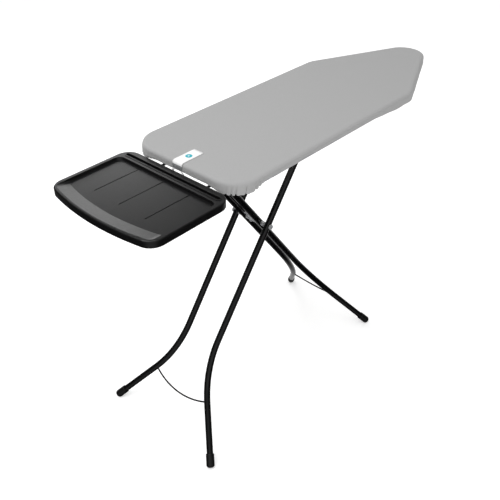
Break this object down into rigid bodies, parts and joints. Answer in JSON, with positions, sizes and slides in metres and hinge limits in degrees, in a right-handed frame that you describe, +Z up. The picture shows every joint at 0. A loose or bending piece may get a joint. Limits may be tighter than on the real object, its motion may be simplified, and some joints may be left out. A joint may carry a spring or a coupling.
{
  "type": "ironing board",
  "caption": "Folding ironing board with a padded pointed top, crossed tube legs, height rack and a fixed tray for a steam station.",
  "frame": {"origin": "on the floor under the middle of the overall length, midway between the feet", "axes": "+X from the tray towards the pointed nose, +Y to the left side, +Z up"},
  "size_m": [1.5749, 0.5056, 0.995],
  "materials": {
    "cover_fabric": "light grey woven cotton with a metallised sheen",
    "pad_foam": "needle felt over thin foam",
    "label_fabric": "white woven band",
    "grey_mesh": "grey powder-coated mesh",
    "grey_frame": "grey powder coat",
    "black_paint": "gloss black powder coat",
    "zinc": "bright zinc plate",
    "wire_steel": "black coated spring wire",
    "black_plastic": "satin black moulding",
    "nylon": "natural nylon",
    "tray_plastic": "fine-grained black moulding",
    "rubber": "matt black rubber"
  },
  "bodies": {
    "board": {"bracket_rivets": "zinc", "cover": "cover_fabric", "cross_bar_hinge": "grey_frame", "cross_bar_nose": "grey_frame", "cross_bar_rack_front": "grey_frame", "cross_bar_rack_rear": "grey_frame", "cross_bar_tail": "grey_frame", "deck_mesh": "grey_mesh", "hinge_axle": "zinc", "hinge_axle_caps": "black_plastic", "hinge_bracket_left": "black_paint", "hinge_bracket_right": "black_paint", "label_band": "label_fabric", "pad": "pad_foam", "rack_rail_left": "black_paint", "rack_rail_right": "black_paint", "rail_rivets": "zinc", "rim_nose": "grey_frame", "rim_side_left": "grey_frame", "rim_side_right": "grey_frame", "rim_tail": "grey_frame", "rod_clamps": "black_plastic", "rod_clips": "black_plastic", "tray": "tray_plastic", "tray_rod_left": "black_paint", "tray_rod_right": "black_paint", "tray_screws": "zinc"},
    "inner_legs": {"axle_cap_left": "zinc", "axle_cap_right": "zinc", "axle_sleeve": "zinc", "axle_spacers": "zinc", "hinge_sleeve": "zinc", "hinge_washers": "nylon", "inner_brace_wire": "wire_steel", "inner_foot_cap_left": "rubber", "inner_foot_cap_right": "rubber", "inner_leg_left": "black_paint", "inner_leg_plugs": "black_plastic", "inner_leg_right": "black_paint", "scissor_axle": "zinc"},
    "outer_legs": {"outer_brace_wire": "wire_steel", "outer_foot_cap_left": "rubber", "outer_foot_cap_right": "rubber", "outer_leg_left": "black_paint", "outer_leg_plugs": "black_plastic", "outer_leg_right": "black_paint", "slide_bar": "zinc", "slide_bar_caps": "black_plastic", "slide_bushes": "nylon"},
    "height_carriage": {"carriage_block": "black_plastic", "lever_pin": "zinc", "lever_spring": "zinc"},
    "release_lever": {"release_lever": "black_plastic"},
    "lock_arm": {"lock_arm_plug": "black_plastic", "lock_arm_strap": "zinc", "lock_arm_tube": "black_paint"}
  },
  "joints": [
    {"name": "leg_fold", "type": "hinge", "parent": "board", "child": "inner_legs", "pos_m": [-0.35468, 0, 0.927], "axis": [0, -1, 0], "range_deg": [0, 51.5]},
    {"name": "scissor", "type": "hinge", "parent": "inner_legs", "child": "outer_legs", "pos_m": [-0.16, 0, 0.661], "axis": [0, -1, 0], "range_deg": [-103.5, 0]},
    {"name": "slide_bar_turn", "type": "hinge", "parent": "outer_legs", "child": "height_carriage", "pos_m": [0.03468, 0, 0.927], "axis": [0, -1, 0], "range_deg": [0, 51.8]},
    {"name": "lever_squeeze", "type": "hinge", "parent": "height_carriage", "child": "release_lever", "pos_m": [0.06468, 0, 0.94], "axis": [0, -1, 0], "range_deg": [0, 10], "stiffness_Nm_per_rad": 0.6, "springref_deg": -20.05},
    {"name": "lock_arm_swing", "type": "hinge", "parent": "inner_legs", "child": "lock_arm", "pos_m": [-0.16, 0, 0.661], "axis": [0, -1, 0], "range_deg": [0, 25]}
  ],
  "couplings": [
    {"joint": "scissor", "follows": "leg_fold", "ratio": -2},
    {"joint": "slide_bar_turn", "follows": "leg_fold", "ratio": 1}
  ]
}
